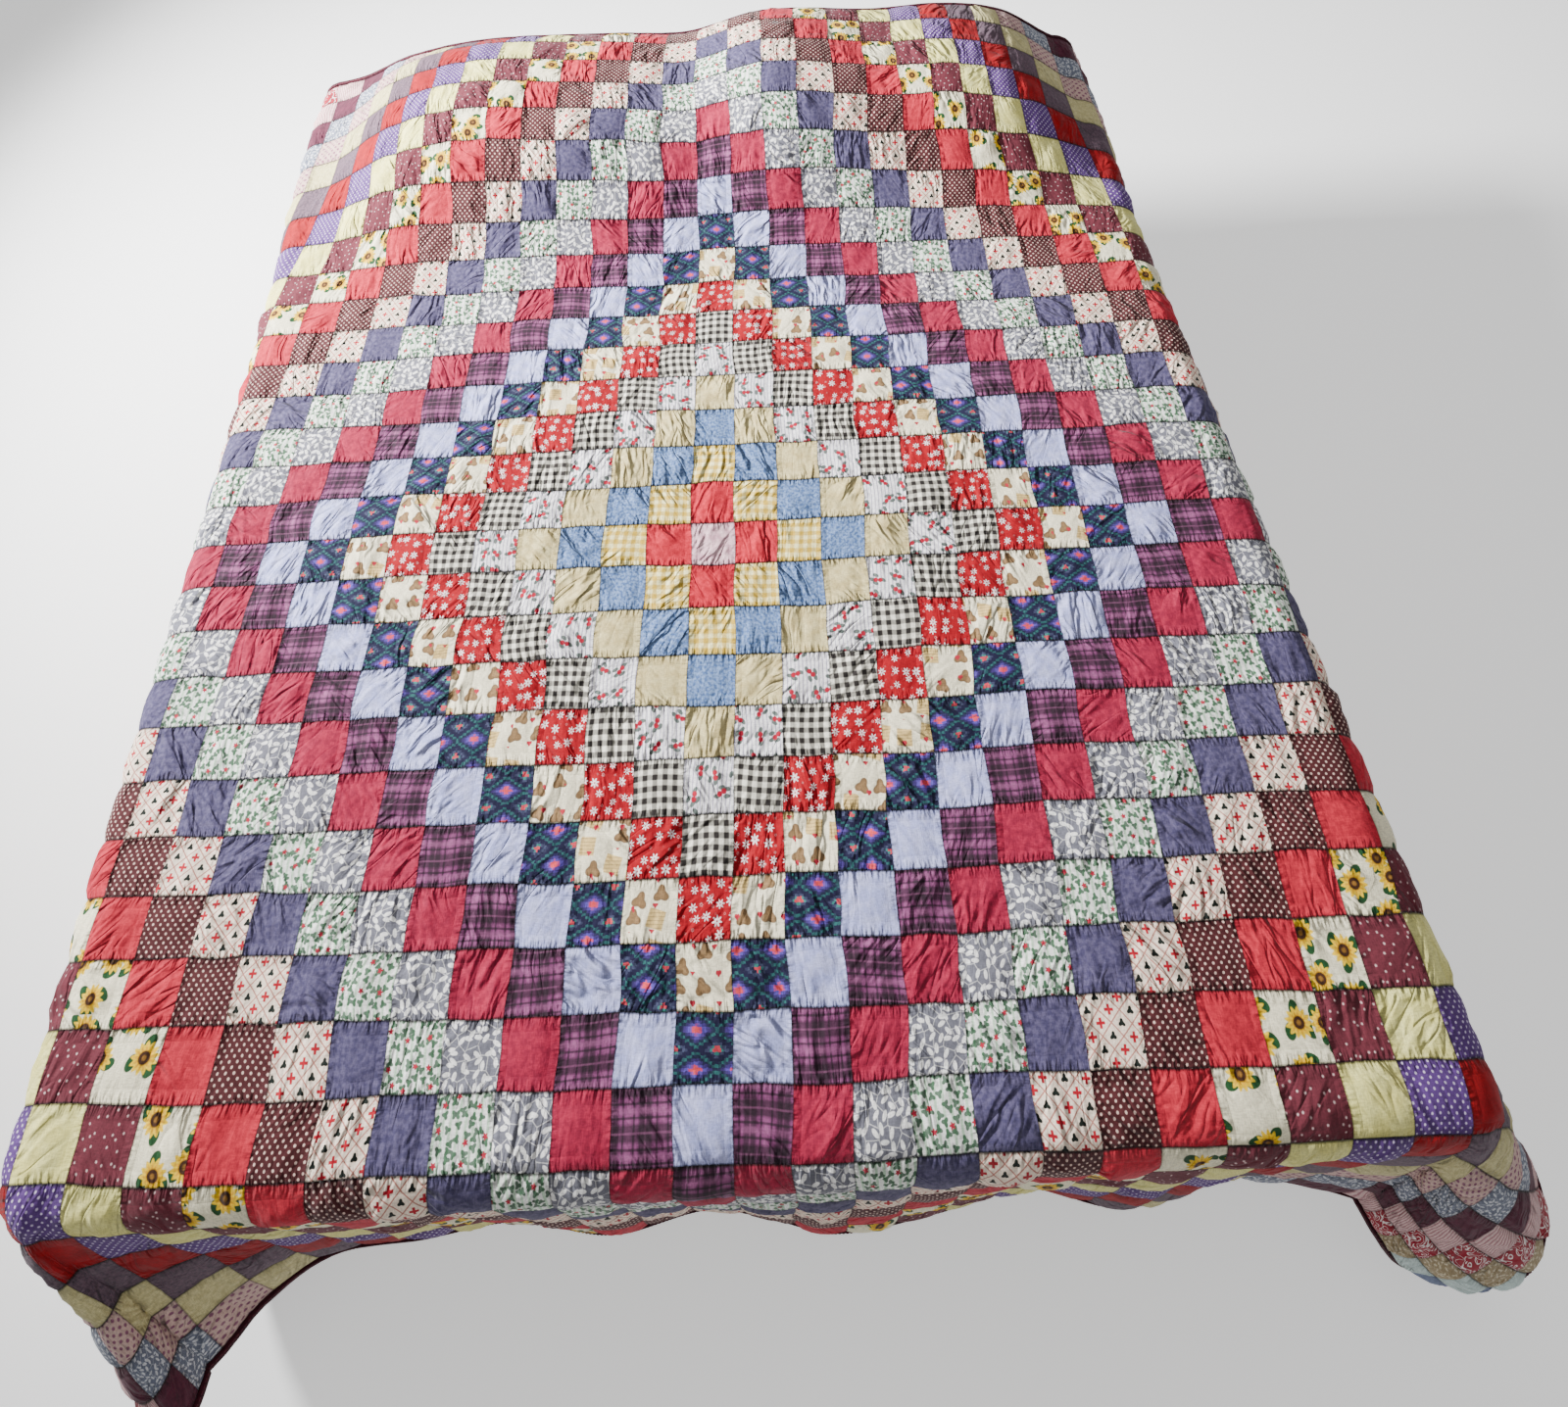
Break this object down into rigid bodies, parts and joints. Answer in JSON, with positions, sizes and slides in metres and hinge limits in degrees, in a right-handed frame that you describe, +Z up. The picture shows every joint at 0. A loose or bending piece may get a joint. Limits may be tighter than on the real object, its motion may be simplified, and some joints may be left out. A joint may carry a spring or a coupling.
{
  "type": "patchwork quilt on a bed",
  "caption": "Patchwork quilt of small squares draped over a plain bed and its pillows, hanging down both sides and the foot with a loose ear at each foot corner.",
  "frame": {"origin": "on the floor, under the middle of the bed's base", "axes": "+Z up, +Y from the foot of the bed toward the head, +X to the right seen from the foot"},
  "size_m": [2.1667, 2.4301, 0.9254],
  "materials": {
    "patchwork_top": "matt printed cotton, pieced in squares",
    "backing": "matt plain cotton, dark wine red",
    "binding": "matt plain cotton, dark wine red",
    "mattress": "matt woven cover",
    "bed_base": "matt upholstery cloth",
    "pillow": "matt cotton ticking"
  },
  "bodies": {
    "root": {"patchwork_top": "patchwork_top", "backing": "backing", "binding": "binding", "mattress": "mattress", "bed_base": "bed_base", "pillow_left": "pillow", "pillow_right": "pillow"}
  },
  "joints": []
}
